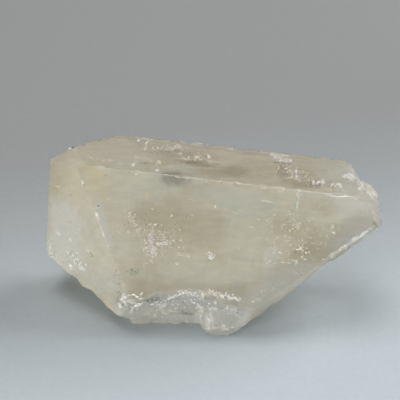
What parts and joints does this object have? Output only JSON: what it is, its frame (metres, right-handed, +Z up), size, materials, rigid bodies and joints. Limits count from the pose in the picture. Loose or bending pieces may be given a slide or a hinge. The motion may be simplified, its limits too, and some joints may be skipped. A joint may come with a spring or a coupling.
{
  "type": "topaz crystal",
  "caption": "Clear champagne topaz prism lying on its side, with flat crystal faces, growth ledges and broken ends.",
  "frame": {"origin": "centre of the crystal's footprint box, on the surface that it rests on", "axes": "+X along the crystal's length towards its broken end, +Y towards its back, +Z up"},
  "size_m": [0.0732, 0.0306, 0.0326],
  "materials": {
    "topaz": "clear, slightly hazy, glassy on its faces and splintery on its breaks"
  },
  "bodies": {
    "root": {"topaz_crystal": "topaz"}
  },
  "joints": []
}
